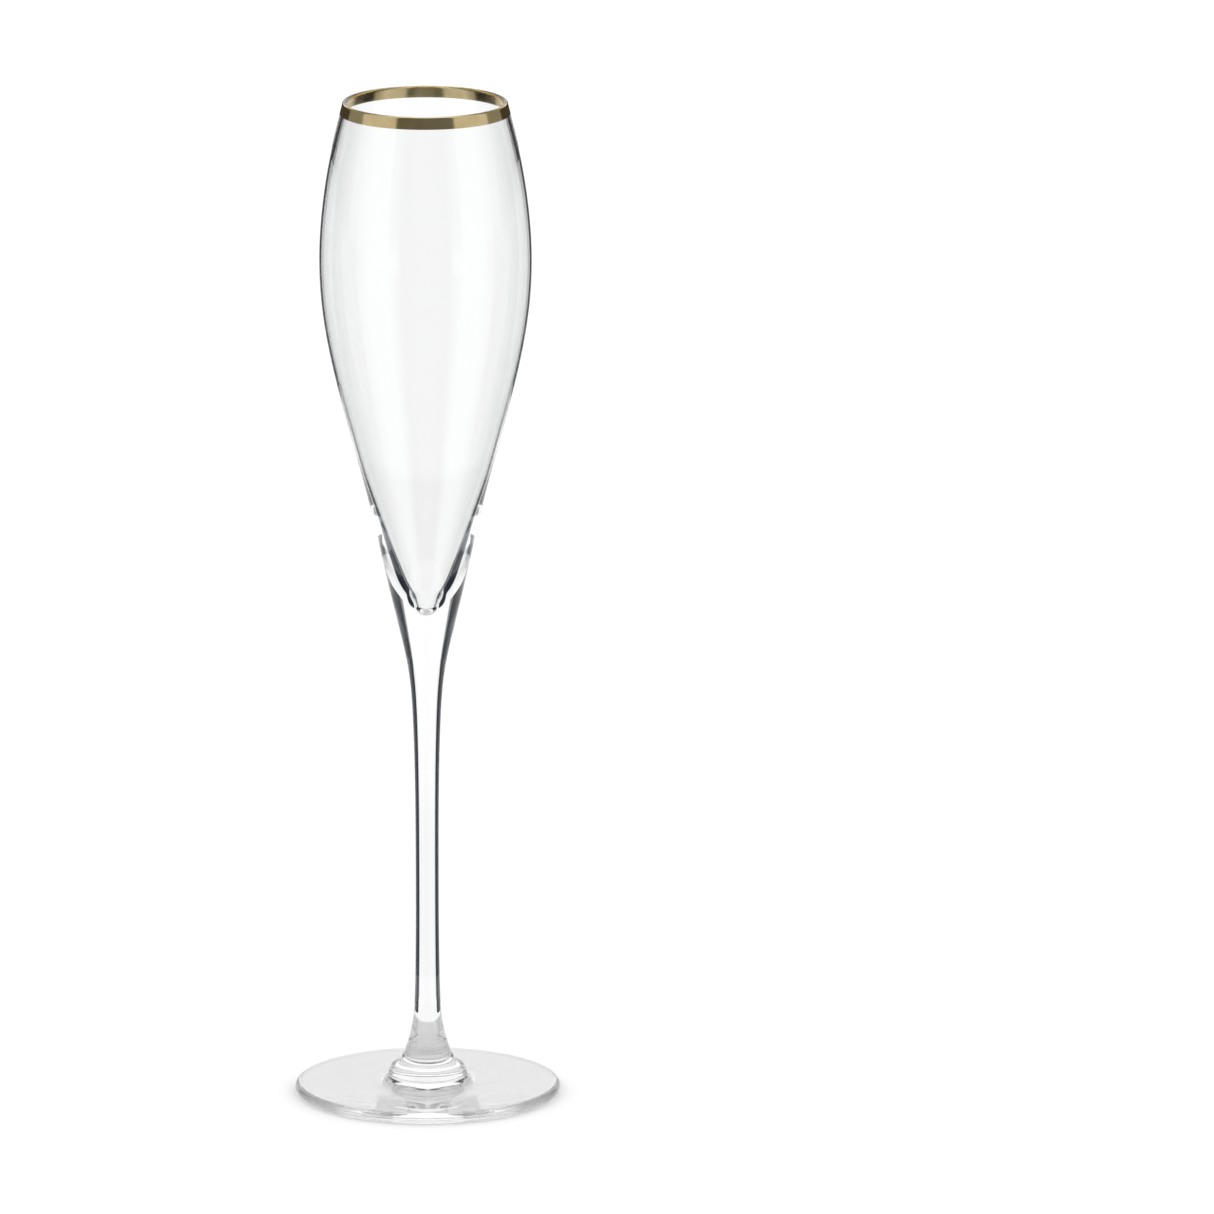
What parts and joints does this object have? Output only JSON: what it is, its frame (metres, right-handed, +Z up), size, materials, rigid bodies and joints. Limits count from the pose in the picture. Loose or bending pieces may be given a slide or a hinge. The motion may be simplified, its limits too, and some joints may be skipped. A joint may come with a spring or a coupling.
{
  "type": "champagne flute",
  "caption": "Tall stemmed champagne flute: slender blown tulip bowl with a gold rim band, thin drawn stem and wide round foot.",
  "frame": {"origin": "centre of the flat ring under the foot, on the surface that the flute stands on", "axes": "+Z up along the flute's axis, from the foot to the rim; the flute is turned, so X and Y are free"},
  "size_m": [0.071, 0.071, 0.27],
  "materials": {
    "bowl_glass": "clear fire-polished crystal glass",
    "stem_glass": "clear fire-polished crystal glass",
    "foot_glass": "clear fire-polished crystal glass",
    "fired_gold": "fired-on gold with a fine horizontal brush"
  },
  "bodies": {
    "root": {"bowl": "bowl_glass", "stem": "stem_glass", "foot": "foot_glass", "gold_band": "fired_gold"}
  },
  "joints": []
}
